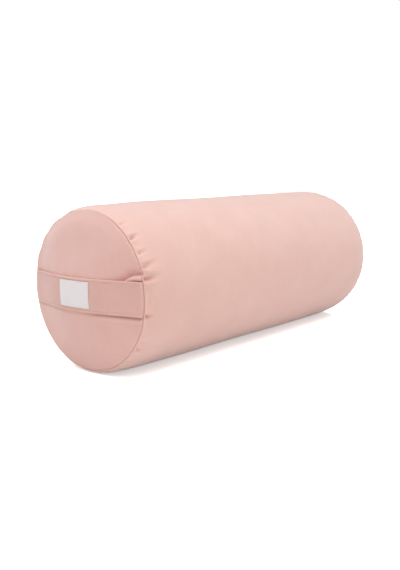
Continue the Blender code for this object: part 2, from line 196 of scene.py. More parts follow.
# Woven damask label: polyester satin, finer and whiter than the canvas, with a slight gloss.
patchWeave = wovenCloth("wovenLabelSatin", {
    **canvasLook, "lie": "flat", "thread": 0.00035, "slubWidth": 0.0006, "slubLength": 0.008, "slubRise": 0.4,
    "dyePatch": 0.02, "light": "#F3E8E7", "dark": "#EEE2E1", "gap": "#C4BEBC", "gapShadeDepth": 0.2,
    "roughness": 0.55, "specular": 0.5, "sheen": 0.2})

# Zip tape: woven polyester, a tight twill that is a shade deeper than the canvas.
tapeWeave = wovenCloth("wovenZipTape", {
    **canvasLook, "thread": 0.0005, "slubWidth": 0.0007, "slubLength": 0.012, "slubRise": 0.3,
    "light": "#D9A899", "dark": "#D2A092", "gap": "#9E6A5E", "gapShadeDepth": 0.35,
    "roughness": 0.7, "sheen": 0.2})

# Unbleached calico for the liner bag: thin, creamy, with flecks.
linerCalico = wovenCloth("unbleachedCalico", {
    **canvasLook, "thread": 0.0005, "light": "#E9E0C9", "dark": "#DCD0B4", "gap": "#A89A78",
    "sheenTint": "#FFFDF5"})


# Two-ply polyester thread: the plies wind round each other and catch a soft light.
threadLook = {
    "twist": 550.0,  # the wave texture's scale, at which a ply shows every 1.1 mm
    "betweenPlies": 0.8,  # brightness of the shade between them
    "roughness": 0.5, "sheen": 0.2, "bump": 0.5, "relief": 0.00005,
}


def threadFinish(name, hexColour):
    material, tree, shader = newFinish(name, {
        "Roughness": threadLook["roughness"], "IOR": 1.5, "Sheen Weight": threadLook["sheen"]})
    place = addNode(tree, "TexCoord").outputs["Object"]
    wave = addNode(tree, "TexWave", {"bands_direction": "DIAGONAL"},
                   {"Vector": place, "Scale": threadLook["twist"]})
    twist = wave.outputs["Fac"]
    ply = linearColour(hexColour)
    betweenPlies = [part * threadLook["betweenPlies"] for part in ply[:3]] + [1]
    colour = addNode(tree, "Mix", {"data_type": "RGBA"}, {0: twist, 6: ply, 7: betweenPlies}).outputs[2]
    bump = addNode(tree, "Bump", {},
                   {"Height": twist, "Strength": threadLook["bump"], "Distance": threadLook["relief"]})
    setInputs(tree, shader, {"Base Color": colour, "Normal": bump})
    return material


canvasThread = threadFinish("polyesterThreadRose", "#E2B2A5")
patchThread = threadFinish("polyesterThreadWhite", "#ECE9E8")


def cloudedGloss(name, inputs, cloud):
    # A fine noise clouds the gloss of a moulded or cast part and dents its surface a little.
    material, tree, shader = newFinish(name, inputs)
    place = addNode(tree, "TexCoord").outputs["Object"]
    noise = addNode(tree, "TexNoise", {},
                    {"Vector": place, "Scale": cloud["scale"], "Detail": cloud["detail"]})
    gloss = addNode(tree, "MapRange", {},
                    {"Value": noise, "To Min": cloud["smooth"], "To Max": cloud["dull"]})
    bump = addNode(tree, "Bump", {},
                   {"Height": noise, "Strength": cloud["bump"], "Distance": cloud["relief"]})
    setInputs(tree, shader, {"Roughness": gloss, "Normal": bump})
    return material


# Acetal, injection moulded: an even colour with a low, slightly cloudy gloss, in clouds 1.1 mm across.
acetalCloud = {"scale": 900.0, "detail": 2.0, "smooth": 0.3, "dull": 0.46, "bump": 0.15, "relief": 0.00005}
toothAcetal = cloudedGloss("mouldedAcetalTeeth", {"Base Color": linearColour("#D8A596"), "IOR": 1.48},
                           acetalCloud)
stopAcetal = cloudedGloss("mouldedAcetalStops", {"Base Color": linearColour("#D29D8E"), "IOR": 1.48},
                          acetalCloud)

# Die-cast zinc, tumbled and nickel plated: warm grey, with fine tumbling marks that blur the gloss. They are
# about 0.7 mm apart.
zincCloud = {"scale": 1400.0, "detail": 4.0, "smooth": 0.22, "dull": 0.42, "bump": 0.1, "relief": 0.00003}
sliderZinc = cloudedGloss("nickelPlatedZincSlider", {"Base Color": linearColour("#C2BCB2"), "Metallic": 1.0},
                          zincCloud)
pullZinc = cloudedGloss("nickelPlatedZincPull", {"Base Color": linearColour("#CAC5BC"), "Metallic": 1.0},
                        {**zincCloud, "smooth": 0.16, "dull": 0.34})  # handled, so more polished


# Buckwheat husks: small dark three-cornered shells, each one a little different.
huskLook = {
    "scale": 220.0,  # husks to a metre, so one is about 4.5 mm
    "dark": "#3A281A", "light": "#7A5A3C", "roughness": 0.7, "relief": 0.002,
}


def husks(name):
    material, tree, shader = newFinish(name, {"Roughness": huskLook["roughness"], "IOR": 1.5})
    place = addNode(tree, "TexCoord").outputs["Object"]
    cells = addNode(tree, "TexVoronoi", {}, {"Vector": place, "Scale": huskLook["scale"]})
    tone = addNode(tree, "SeparateColor", {}, {0: cells.outputs["Color"]})
    colour = addNode(tree, "Mix", {"data_type": "RGBA"},
                     {0: tone, 6: linearColour(huskLook["dark"]), 7: linearColour(huskLook["light"])})
    bump = addNode(tree, "Bump", {"invert": True},
                   {"Height": cells.outputs["Distance"], "Distance": huskLook["relief"]})
    setInputs(tree, shader, {"Base Color": colour.outputs[2], "Normal": bump})
    return material


huskFinish = husks("buckwheatHusks")
print("materials made:", len(bpy.data.materials))


# Meshes from grids of points
def gridQuads(index):
    return np.stack([index[:-1, :-1], index[:-1, 1:], index[1:, 1:], index[1:, :-1]], axis=-1)


def roundMesh(name, points, skip=None):
    # Rows of points that each close to a ring.
    rows, columns = points.shape[:2]
    index = np.arange(rows * columns).reshape(rows, columns)
    quads = gridQuads(np.hstack([index, index[:, :1]]))
    quads = quads[~skip] if skip is not None else quads.reshape(-1, 4)
    mesh = bpy.data.meshes.new(name)
    mesh.from_pydata(points.reshape(-1, 3).tolist(), [], quads.tolist())
    return mesh


def addPiece(name, mesh, material, sharpAngle=50):
    mesh.materials.append(material)
    mesh.shade_smooth()
    mesh.set_sharp_from_angle(angle=math.radians(sharpAngle))
    piece = bpy.data.objects.new(name, mesh)
    bpy.context.scene.collection.objects.link(piece)
    return piece


def tidyMesh(mesh, sameSpot=0.000001):
    # Joins points that meet, drops loose ones and turns every face outwards.
    work = bmesh.new()
    work.from_mesh(mesh)
    bmesh.ops.remove_doubles(work, verts=work.verts, dist=sameSpot)
    loose = [vertex for vertex in work.verts if not vertex.link_faces]
    bmesh.ops.delete(work, geom=loose, context="VERTS")
    bmesh.ops.recalc_face_normals(work, faces=work.faces)
    work.to_mesh(mesh)
    work.free()
    return mesh


def cappedTube(name, points):
    # A tube from rows of points round its section, closed at both ends.
    rows, columns = points.shape[:2]
    side = roundMesh("side", points)
    last = (rows - 1) * columns
    faces = [list(face.vertices) for face in side.polygons]
    faces += [list(range(columns)), list(range(last, last + columns))]
    bpy.data.meshes.remove(side)
    mesh = bpy.data.meshes.new(name)
    mesh.from_pydata(points.reshape(-1, 3).tolist(), [], faces)
    return tidyMesh(mesh)


def faceOutwards(mesh, sample, beyond=0.05):
    # The faces well out on the sample's side have to look that way.
    axis = Vector((roll["middle"], 0, roll["axisHeight"]))
    sign = sum(face.normal.dot(Vector(sample)) * face.area for face in mesh.polygons
               if (face.center - axis).dot(Vector(sample)) > beyond)
    if sign < 0:
        mesh.flip_normals()


def addThickness(piece, thickness):
    modifier = piece.modifiers.new("clothThickness", "SOLIDIFY")
    modifier.thickness = thickness
    modifier.offset = -1


def smoothStep(value, low, high):
    share = np.clip((value - low) / (high - low), 0, 1)
    return share * share * (3 - 2 * share)


def hump(distance, width):
    return np.exp(-(distance / width) ** 2)


def ridge(distance, form):
    # A rise over the cloth by its height, place and width.
    height, place, width = form
    return height * hump(distance - place, width)


def roundedEdge(distance, radius):
    # How far a rounded edge has come up at a distance in from it, as a share of its radius.
    return np.sqrt(1 - (1 - np.clip(distance / radius, 0, 1)) ** 2)


def toWorld(along, outward, angle):
    # A point by its place along the roll, its distance from the axis and its angle round it.
    return np.stack([roll["middle"] + along, -outward * np.cos(angle),
                     roll["axisHeight"] + outward * np.sin(angle)], axis=-1)


def restOn(points, level=0.0, softness=0.0025):
    # The weight presses the underside flat, with a soft turn where the cloth leaves the level it lies on.
    points[..., 2] -= level
    height = points[..., 2]
    lift = np.clip(0.5 + 0.5 * height / softness, 0, 1)
    points[..., 2] = height * lift + softness * lift * (1 - lift) + level
    return points


def arcBetween(angle, middle):
    return (angle - middle + math.pi) % (2 * math.pi) - math.pi


def crownAt(radius, rim):
    # How far an end panel stands out at a distance from its middle.
    return roll["crown"] * np.clip(1 - (radius / rim) ** 2, 0, 1) ** roll["crownPower"]


# Slow unevenness of the filling: how many waves, their turns round the roll and radians per metre along it, the
# share of the weakest, the range of their starts in radians, and what brings their sum back to about 1
filling = {"waves": 14, "turns": (1, 7), "lengthwise": (4, 34), "weakest": 0.3, "starts": 6.3, "sum": 4}


def waves(along, angle, seed, strength):
    draw = random.Random(seed)
    height = np.zeros(np.broadcast(along, angle).shape)
    for step in range(filling["waves"]):
        turns, lengthwise = draw.randint(*filling["turns"]), draw.uniform(*filling["lengthwise"])
        share = draw.uniform(filling["weakest"], 1)
        height += share * np.sin(turns * angle + lengthwise * along + draw.uniform(0, filling["starts"]))
    return strength * height / filling["sum"]


# Gathers, where the barrel's longer edge is eased into the end seam
gathers = {
    # angle in degrees, depth, length and width in millimetres, slant in degrees; those the photograph shows
    "front": [(54, 1.9, 14, 7, 10), (41, 4.2, 15, 7.5, 17), (29.5, 2.6, 14, 7, 12), (20.5, 3.8, 20, 8.5, 13),
              (13.2, 6.4, 20, 10, 3), (-12.5, 5.0, 12, 6, 6), (-31, 1.3, 12, 8, 2),
              (-37.5, 3.4, 15, 6.5, -2)],
    # straight stretches of the front seam, between corners: degrees, depth and half width in millimetres
    "flats": [(94, 0.8, 10), (116, 1.9, 11), (135, 1.1, 8), (151, 1.1, 8), (169, 1.0, 10), (100, 1.3, 45),
              (2, 1.6, 30)],
    # stretches that the photograph doesn't show, where gathers are drawn by chance, in degrees
    "frontHidden": (99, 318), "rearHidden": (-180, 180),
    "startFree": 6, "endFree": 5, "spacing": 14, "spacingShare": (0.7, 1.3), "seed": 11,
    "drawn": ((1.0, 2.8), (9, 18), (5.5, 8), (-12, 12)),  # ranges of their depth, length, width and slant
    # section of one, in shares of its width and depth: its valley's width, and the ridge on both sides of it
    "valley": 0.32, "ridge": (0.42, 0.72, 0.34), "fade": 1.6,  # and how soon it fades along its length
    "atSeam": 0.12,  # share of a gather's depth that is left where it is sewn down
    "freedFrom": (0.0006, 0.0048),  # and the stretch over which it comes up from there
    # how the seam itself dips at a gather: share of the depth, and half width in millimetres
    "frontDip": (0.12, 5), "rearDip": (0.4, 8),
    "tightSeam": 0.96,  # how much shallower the seam is where the cloth is pulled tight, at the top and back
    "tightStart": (45, 80), "tightEnd": (185, 215),  # degrees where that begins and ends
    "tightBack": 0.0016,  # and how far the seam lies back there
    # where the strap's end pulls: degrees, depth, length and half width
    "strapHollow": (-8, 0.0036, 0.022, 0.034),
}
chance = random.Random(gathers["seed"])


def spreadGathers(start, end):
    made = []
    angle = start + gathers["startFree"]
    while angle < end - gathers["endFree"]:
        made.append((angle, *(chance.uniform(*ends) for ends in gathers["drawn"])))
        angle += gathers["spacing"] * chance.uniform(*gathers["spacingShare"])
    return made


def dipsAt(made, share, width):
    return [(gather[0], gather[1] * share, width) for gather in made]


frontGathers = gathers["front"] + spreadGathers(*gathers["frontHidden"])
rearGathers = spreadGathers(*gathers["rearHidden"])
frontDips = dipsAt(frontGathers, *gathers["frontDip"]) + gathers["flats"]
rearDips = dipsAt(rearGathers, *gathers["rearDip"])


def gatherHeight(inset, angle, made):
    # Each gather is a valley between two ridges that starts at the seam and runs out along the barrel.
    height = np.zeros(np.broadcast(inset, angle).shape)
    for degrees, depth, length, width, slant in made:
        arc = roll["radius"] * arcBetween(angle, math.radians(degrees))
        share = (arc - inset * math.tan(math.radians(slant))) / (width / 1000)
        across = ridge(np.abs(share), gathers["ridge"]) - hump(share, gathers["valley"])
        reach = inset / (length / 1000)
        height += depth / 1000 * across * np.exp(-gathers["fade"] * reach ** 2)
    return height * (gathers["atSeam"] + (1 - gathers["atSeam"]) * smoothStep(inset, *gathers["freedFrom"]))


def seamDip(angle, dips):
    # How far the seam is drawn in towards the axis, for a slightly uneven edge.
    dip = np.zeros(np.shape(angle))
    for degrees, depth, width in dips:
        arc = arcBetween(angle, math.radians(degrees)) * roll["seamRadius"]
        dip += depth / 1000 * hump(arc, width / 1000)
    return dip


def looseness(angle):
    # 1 where the end seam is a full groove, less where the cloth is pulled tight over it
    degrees = np.degrees(angle) % 360
    start, end = smoothStep(degrees, *gathers["tightStart"]), smoothStep(degrees, *gathers["tightEnd"])
    return 1 - gathers["tightSeam"] * start * (1 - end)


# The crease that the strap's right end pulls in the front panel, from the strap out to the seam
crease = {
    "start": (-0.0745, 0.0200), "end": (-0.1025, 0.0290), "bend": 3.6,  # across and up from the axis
    "depth": 0.0064, "above": 0.0060, "below": 0.0018,  # a slow slope above it and a steep one below
    "swell": (0.0020, -0.0042, 0.0026),  # the cloth's rise under it: height, place and width
    "grows": (-0.6, 0.4), "swellGrows": (-0.05, 0.4),  # shares of its run over which both come up
    "atSeam": 0.45,  # share of it that goes on through the seam
}


def strapEndCrease(across, up):
    # A valley in the front panel whose cloth swells again just above the strap.
    start, end = crease["start"], crease["end"]
    share = (across - start[0]) / (end[0] - start[0])
    line = start[1] + (end[1] - start[1]) * (1 - (1 - np.clip(share, 0, 1)) ** crease["bend"])
    above = up - line
    valley = np.where(above > 0, hump(above, crease["above"]), hump(above, crease["below"]))
    swell = ridge(above, crease["swell"]) * smoothStep(share, *crease["swellGrows"])
    return swell - crease["depth"] * valley * smoothStep(share, *crease["grows"])


# End panels: their values, and the relief of the front one, which the barrel's edge follows
panel = {
    "columnStep": 1.25, "fineStep": 0.45, "fineFrom": -34, "fineTo": 36,  # degrees
    "coverSlit": 0.0012, "openSlit": 0.0003,  # the seam is closed where it is pulled tight and open elsewhere
    # how far in from the rim its slit, its dips and the tight cloth are felt
    "slitReach": 0.0015, "dipReach": 0.012, "tightReach": (0.03, 0.004),
    "unevenness": (6, 0.0004, 0.7),  # scale, height and reach, as a share of the rim
    # the turned-in cloth: how far under the rolled edge it lies, where it starts, and the turn at its end
    "footDrop": 0.00012, "footFrom": 0.0016, "footTurn": 0.0004, "footFree": 0.002,
    # the panel is drawn in along the strap's lower edge and swells under it: depth or height, place and width
    "strapHalf": 0.0217, "strapDrop": 0.0012,  # half the strap's width, and how far it sits under the middle
    "nook": (0.0020, 0.0009, 0.0012), "swell": (0.0014, 0.005, 0.0028),
    "nookAtLeft": 0.45, "nookGrows": (-0.01, 0.07),  # less at the left end
    "upperNook": (0.0022, 0.0004, 0.0007), "upperNookGrows": (0.082, 0.097),  # the same above, by the seam
    # a full shoulder under the top of the seam: its height, its outer slope, where it has levelled out, and how
    # far up it begins and is full, as a share of the way to the top
    "shoulder": 0.0034, "shoulderSlope": 0.015, "shoulderPower": 1.4, "shoulderEnd": 0.06,
    "shoulderGrows": (0.35, 0.8),
    "reliefGrows": (0.0003, 0.004),  # the relief starts from a plain rim
}
coverPanel = {
    "plane": panelPlane, "rim": roll["seamRadius"], "thickness": roll["canvas"], "allowance": 0.008,
    "rings": 56,
    # rim rolled back into the seam: distance from the rim's edge, and drop below the rim's outer face
    "roll": [(0.0050, 0.0), (0.0036, 0.00008), (0.0026, 0.00022), (0.0018, 0.00044), (0.0011, 0.00076),
             (0.0006, 0.00112), (0.0003, 0.0015), (0.0003, 0.0018), (0.0006, 0.0021)],
}


def strapNook(across, up):
    below = -panel["strapDrop"] - panel["strapHalf"] - up
    above = up - (panel["strapHalf"] - panel["strapDrop"])
    strength = panel["nookAtLeft"] + (1 - panel["nookAtLeft"]) * smoothStep(-across, *panel["nookGrows"])
    lower = strength * (ridge(below, panel["swell"]) - ridge(below, panel["nook"]))
    return lower - ridge(above, panel["upperNook"]) * smoothStep(-across, *panel["upperNookGrows"])


def topShoulder(across, up, leastRadius=0.000001):
    # The filling stands up behind the top of the panel, which rounds over more steeply there.
    radius = np.hypot(across, up)
    fromRim = np.maximum(roll["seamRadius"] - radius, 0)
    rise = 1 - np.maximum(1 - fromRim / panel["shoulderSlope"], 0) ** panel["shoulderPower"]
    fall = 1 - smoothStep(fromRim, panel["shoulderSlope"], panel["shoulderEnd"])
    share = smoothStep(up / np.maximum(radius, leastRadius), *panel["shoulderGrows"])
    return panel["shoulder"] * rise * fall * share


def frontRelief(across, up):
    inside = smoothStep(roll["seamRadius"] - np.hypot(across, up), *panel["reliefGrows"])
    creased = strapEndCrease(across, up) * (crease["atSeam"] + (1 - crease["atSeam"]) * inside)
    return creased + strapNook(across, up) * inside + topShoulder(across, up)


# Cover barrel
barrel = {
    "columnStep": 0.0015, "rowStep": 0.0028, "shoulderRows": 42,
    # its edge, turned in at the seam: distance from the seam, and height over it
    "lip": [(0.0013, -0.008), (0.0013, -0.0055), (0.0013, -0.003), (0.0013, -0.0014), (0.0011, -0.0009),
            (0.00075, -0.0004), (0.0004, 0.0001), (0.0002, 0.0006)],
    "slotHalf": 0.198, "slotHalfWidth": 0.0072,  # the folded edges of the zip opening
    # rows and columns past those edges, and columns between them
    "foldSteps": [0, 0.00005, 0.0002, 0.00045, 0.0008, 0.0013, 0.002, 0.0028, 0.0036, 0.0046, 0.006],
    "seamSteps": [0, 0.0003, 0.0007, 0.0012, 0.0019, 0.0028, 0.0039, 0.005, 0.0062], "pastFold": 0.0012,
    "foldRadius": 0.0011, "stitchFromFold": 0.0028, "stitchSink": 0.00028, "stitchSpread": 0.0006,
    "welt": (0.00012, 0.0015, 0.0007),  # between fold and stitches: height, place and width
    # the plain seam past both ends of the zip, and the welt beside it
    "groove": 0.0009, "grooveWidth": 0.0005, "grooveFrom": (0.003, 0.005),
    "seamWelt": (0.0002, 0.002, 0.0012),
    "waviness": 0.0005, "waveSeed": 5, "freeFrom": (0.01, 0.06),  # and where the waves start from the seam
    "hollowFrom": (0.0004, 0.0045),
    "sag": (93, 50, 0.0012),  # the top gives a little under its own weight: degrees, spread, depth
    # slacker cloth behind the front end: the same, inset and half length
    "slack": (98, 40, 0.0017, 0.04, 0.035),
    # how far in from the seam these are felt: its dips, tight cloth over and behind the rim, the panel's relief
    "dipReach": 0.014, "overRim": 0.004, "backReach": 0.012, "pullFrom": 0.0013, "pullReach": 0.006,
    "reliefFrom": (0.001, 0.0035),  # the seam itself stays closed
}


def profileRadius(inset, outer, rim):
    part = np.clip(inset / roll["drawIn"], 0, 1)
    return rim + (outer - rim) * (1 - (1 - part) ** 2) ** (roll["drawInPower"] / 2)


def barrelRows(size, cut, extra=(), apart=0.0006):
    # Places along the roll and radii from the rear seam to the front one, closest together at the seams.
    half, outer, rim, steps = size["half"], size["radius"], size["seamRadius"], cut["shoulderRows"]
    shoulder = [roll["drawIn"] * (1 - math.cos(math.pi / 2 * k / steps)) for k in range(2, steps + 1)]
    middle = np.linspace(roll["drawIn"], half, max(2, int((half - roll["drawIn"]) / cut["rowStep"])))[1:-1]
    keep = [inset for inset in middle if all(abs(inset - other) > apart for other in extra)]
    insets = sorted(shoulder + keep + list(extra)) + [half]
    rear = [(half - inset, rim + rise) for inset, rise in cut["lip"]]
    rear += [(half - inset, float(profileRadius(inset, outer, rim))) for inset in insets]
    return np.array(rear + [(-place, radius) for place, radius in reversed(rear[:-1])])


def profileNormals(rows):
    slope = np.gradient(rows, axis=0)
    normals = np.stack([slope[:, 1], -slope[:, 0]], axis=-1)
    normals /= np.linalg.norm(normals, axis=1, keepdims=True)
    return normals if normals[len(rows) // 2, 1] > 0 else -normals


def coverRelief(along, angle):
    # Height of the cover's slow forms over its plain shape; the liner and the husks follow its hollows.
    inset = np.clip(roll["half"] - np.abs(along), 0, None)
    free = smoothStep(inset, *barrel["freeFrom"])
    height = np.where(along < 0, gatherHeight(inset, angle, frontGathers),
                      gatherHeight(inset, angle, rearGathers))
    height += waves(along, angle, barrel["waveSeed"], barrel["waviness"]) * free
    degrees, depth, length, width = gathers["strapHollow"]
    hollow = hump(arcBetween(angle, math.radians(degrees)) * roll["radius"], width) * hump(inset, length)
    height -= (along < 0) * depth * hollow * smoothStep(inset, *barrel["hollowFrom"])
    for degrees, spread, depth, *stretch in (barrel["sag"], barrel["slack"]):
        lengthwise = hump(inset - stretch[0], stretch[1]) * (along < 0) if stretch else free
        height -= depth * hump(arcBetween(angle, math.radians(degrees)), math.radians(spread)) * lengthwise
    return height


def slotInsets():
    # Rows close together at both folded ends of the zip opening
    fold = roll["half"] - barrel["slotHalf"]
    return sorted(set(round(fold + sign * step, 6) for step in barrel["foldSteps"] for sign in (1, -1)))


def columnOffsets():
    # Angles from the zip line, close together beside it
    nearZip = barrel["seamSteps"] + [barrel["slotHalfWidth"] + step for step in barrel["foldSteps"]]
    start = (nearZip[-1] + barrel["pastFold"]) / roll["radius"]
    count = int((2 * math.pi - 2 * start) * roll["radius"] / barrel["columnStep"])
    return np.concatenate([np.array(nearZip) / roll["radius"], np.linspace(start, 2 * math.pi - start, count),
                           2 * math.pi - np.array(nearZip[:0:-1]) / roll["radius"]])


def zipFolds(along, fromZip):
    # The relief along the zip: folded edges round its opening and a plain seam past both ends.
    pastSlot = np.hypot(np.clip(np.abs(along) - barrel["slotHalf"], 0, None),
                        np.clip(fromZip - barrel["slotHalfWidth"], 0, None))
    plain = smoothStep(np.abs(along), *(barrel["slotHalf"] + step for step in barrel["grooveFrom"]))
    return [-barrel["foldRadius"] * (1 - roundedEdge(pastSlot, barrel["foldRadius"])),
            -barrel["stitchSink"] * hump(pastSlot - barrel["stitchFromFold"], barrel["stitchSpread"]),
            ridge(pastSlot, barrel["welt"]),
            -plain * barrel["groove"] * hump(fromZip, barrel["grooveWidth"]),
            plain * ridge(fromZip, barrel["seamWelt"])]


def coverBarrelMesh():
    rows = barrelRows(roll, barrel, slotInsets())
    offsets = columnOffsets()
    along = rows[:, :1]
    angle = roll["zipAngle"] + offsets[None, :]
    inset = np.clip(roll["half"] - np.abs(along), 0, None)
    height = coverRelief(along, angle)
    for part in zipFolds(along, np.abs(arcBetween(offsets, 0))[None, :] * roll["radius"]):
        height += part
    dip = np.where(along < 0, seamDip(angle, frontDips), seamDip(angle, rearDips))
    dip = dip * hump(inset, barrel["dipReach"])
    overRim = (panelPlane - roll["half"]) * hump(inset, barrel["overRim"])
    overRim = overRim - gathers["tightBack"] * hump(inset, barrel["backReach"])
    edge = np.minimum(rows[:, 1:], roll["seamRadius"]) - dip
    pull = frontRelief(-edge * np.cos(angle), edge * np.sin(angle))
    pull = pull * hump(np.maximum(inset - barrel["pullFrom"], 0), barrel["pullReach"])
    normals = profileNormals(rows)
    shift = np.sign(along) * (1 - looseness(angle)) * overRim - (along < 0) * pull
    shift = shift + normals[:, :1] * height * smoothStep(inset, *barrel["reliefFrom"])
    points = restOn(toWorld(along + shift, rows[:, 1:] + normals[:, 1:] * height - dip, angle))

    # The zip opening: the faces inside its folded edges are left out
    rowMiddle = np.abs((rows[:-1, 0] + rows[1:, 0]) / 2)
    columnMiddle = np.abs(arcBetween((offsets + np.append(offsets[1:], 2 * math.pi)) / 2, 0)) * roll["radius"]
    skip = (rowMiddle[:, None] < barrel["slotHalf"]) & (columnMiddle[None, :] < barrel["slotHalfWidth"])
    mesh = tidyMesh(roundMesh("coverBarrelCloth", points, skip))
    faceOutwards(mesh, (0, -1, 0))
    return mesh


coverCloth = addPiece("coverBarrelCloth", coverBarrelMesh(), barrelCanvas)
addThickness(coverCloth, roll["canvas"])
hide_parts("cover_barrel")
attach(coverCloth, "bolster")
print("cover barrel:", len(coverCloth.data.polygons), "faces")


def panelAngles(front):
    # Columns stand closer together where the strap's right end is sewn in.
    if not front:
        return np.radians(np.arange(0, 360, panel["columnStep"]))
    near, far = panel["fineFrom"], panel["fineTo"]
    return np.radians(np.concatenate([np.arange(near, far, panel["fineStep"]),
                                      np.arange(far, near + 360, panel["columnStep"])]))


def panelMesh(name, cut, front, relief, dips, seed):
    # Closed section: the crowned outer face, the rim rolled into the seam, its allowance, and the inner face.
    rim, thickness, allowance = cut["rim"], cut["thickness"], cut["allowance"]
    inner = np.sin(np.linspace(0, math.pi / 2, cut["rings"])) * (rim - cut["roll"][0][0])
    foot = cut["roll"][-1][1] + panel["footDrop"]
    section = [(radius, 0.0, 1) for radius in inner[:-1]]
    section += [(rim - back, drop, 1) for back, drop in cut["roll"]]
    section += [(rim - panel["footFrom"], foot, 0), (rim - allowance, foot, 0),
                (rim - allowance - panel["footTurn"], thickness, 0)]
    section += [(radius, thickness, 0) for radius in inner[::-2]
                if radius < rim - allowance - panel["footFree"]]
    section = np.array(section + ([(0.0, thickness, 0)] if section[-1][0] > 0 else []))
    plain, drop, outside = section[:, :1], section[:, 1:2], section[:, 2:]
    angle = panelAngles(front)[None, :]
    loose = looseness(angle)
    radius = plain - seamDip(angle, dips) * hump(rim - plain, panel["dipReach"])
    slit = panel["coverSlit"] * (1 - loose) - panel["openSlit"] * loose
    radius = radius + slit * hump(rim - plain, panel["slitReach"])
    across, up = -radius * np.cos(angle), radius * np.sin(angle)
    rise = crownAt(radius, rim) - drop * np.where(outside > 0, loose, 1)
    tightFrom, tightTo = panel["tightReach"]
    rise = rise - gathers["tightBack"] * (1 - loose) * smoothStep(plain, rim - tightFrom, rim + tightTo)
    if relief:
        rise = rise + relief(across, up)
    scale, waviness, reach = panel["unevenness"]
    rise = rise + waves(radius * scale, angle, seed, waviness) * hump(radius, rim * reach)
    along = roll["middle"] + (cut["plane"] + rise) * (-1 if front else 1)
    return tidyMesh(roundMesh(name, np.stack([along, across, roll["axisHeight"] + up], axis=-1)))


for name, node, front, relief, dips, seed in (
        ("coverEndFrontCloth", "cover_end_front", True, frontRelief, frontDips, 21),
        ("coverEndRearCloth", "cover_end_rear", False, None, rearDips, 22)):
    endCloth = addPiece(name, panelMesh(name, coverPanel, front, relief, dips, seed), panelCanvasPaintedShade)
    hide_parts(node)
    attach(endCloth, "bolster")
    print(name, len(endCloth.data.polygons), "faces")


# Stitches
sewing = {
    "thread": 0.00022, "rings": 7, "sides": 6, "pitch": 0.003, "gap": 0.0007,
    # in thread radii: how far it dives at its ends and rises between them, its girth there and what that gains
    # between them
    "sunk": 0.9, "raised": 1.5, "endGirth": 0.55, "moreGirth": 0.45,
}


def stitchMesh(name, stitches, thread=sewing["thread"]):
    # Each stitch is (start, end, outward): thread that rises from the cloth, lies on it and dives again.
    rings, sides, count = sewing["rings"], sewing["sides"], len(stitches)
    starts, ends, outwards = (np.array([list(stitch[part]) for stitch in stitches]) for part in range(3))
    run = ends - starts
    outwards = outwards / np.linalg.norm(outwards, axis=1, keepdims=True)
    sideways = np.cross(run / np.linalg.norm(run, axis=1, keepdims=True), outwards)
    starts, run, outwards, sideways = (part[:, None, None, :] for part in (starts, run, outwards, sideways))
    share = np.linspace(0, 1, rings)[None, :, None, None]
    turn = np.linspace(0, 2 * math.pi, sides, endpoint=False)[None, None, :, None]
    bow = np.sin(math.pi * share) ** 0.5
    lift = thread * (sewing["raised"] * bow - sewing["sunk"])
    girth = thread * (sewing["endGirth"] + sewing["moreGirth"] * bow)
    centre = starts + run * share + outwards * lift
    points = centre + girth * (np.cos(turn) * outwards + np.sin(turn) * sideways)
    index = np.arange(count * rings * sides).reshape(count, rings, sides)
    around = np.roll(index, -1, axis=2)
    quads = np.stack([index[:, :-1], around[:, :-1], around[:, 1:], index[:, 1:]], axis=-1).reshape(-1, 4)
    caps = index[:, 0, ::-1].tolist() + index[:, -1].tolist()
    mesh = bpy.data.meshes.new(name)
    mesh.from_pydata(points.reshape(-1, 3).tolist(), [], quads.tolist() + caps)
    return tidyMesh(mesh)


def stitchLine(place, length, pitch=sewing["pitch"], gap=sewing["gap"]):
    # Stitches along a line; place gives the point and the outward direction for a distance along it.
    made = []
    for step in range(int(length / pitch)):
        low, high = step * pitch + gap / 2, (step + 1) * pitch - gap / 2
        start, outward = place(low)
        made.append((start, place(high)[0], outward))
    return made


# Carrying strap: four layers of canvas, folded edges, a row of stitches along both
strap = {
    "width": panel["strapHalf"] * 2, "drop": panel["strapDrop"],
    "base": panelPlane + 0.0005, "thickness": 0.0026, "edgeRadius": 0.0012,
    "stitchFromEdge": 0.0035, "stitchSink": 0.0005, "stitchSpread": 0.0006,
    "middleSink": 0.0003, "flatFrom": 0.006,
    # its section: steps in from an edge, and how far the underside turns up at the edge, across and in height
    "acrossSteps": [0, 0.00008, 0.0003, 0.0007, 0.0012, 0.0018, 0.0024, 0.0028, 0.0032, 0.0035, 0.0038, 0.0042,
                    0.0048, 0.006, 0.008, 0.0105, 0.0135, 0.0165, 0.0195],
    "underTurn": (0.0005, 0.0004),
    "stations": 74, "seamStations": 15, "seamShare": 0.06,  # along a half, and in the share by the seam
    "handHalf": 0.030,  # the stretch that lifts flat, under the patch
    # at its ends, -1 the right one and 1 the left: length and depth of the turn into the seam, how much thinner
    # it is pressed there, and how far it goes past the rim
    "tuck": {-1: 0.0010, 1: 0.013}, "tuckDepth": 0.0050, "pressed": 0.45,
    "pastRim": {-1: -0.0004, 1: -0.0003},
    # the lower edge stands off the panel towards the right end: how far, where across, and where along it
    "lowerLift": 0.0015, "liftAcross": (0.008, panel["strapHalf"]), "liftAlong": (0.14, 0.28),
}
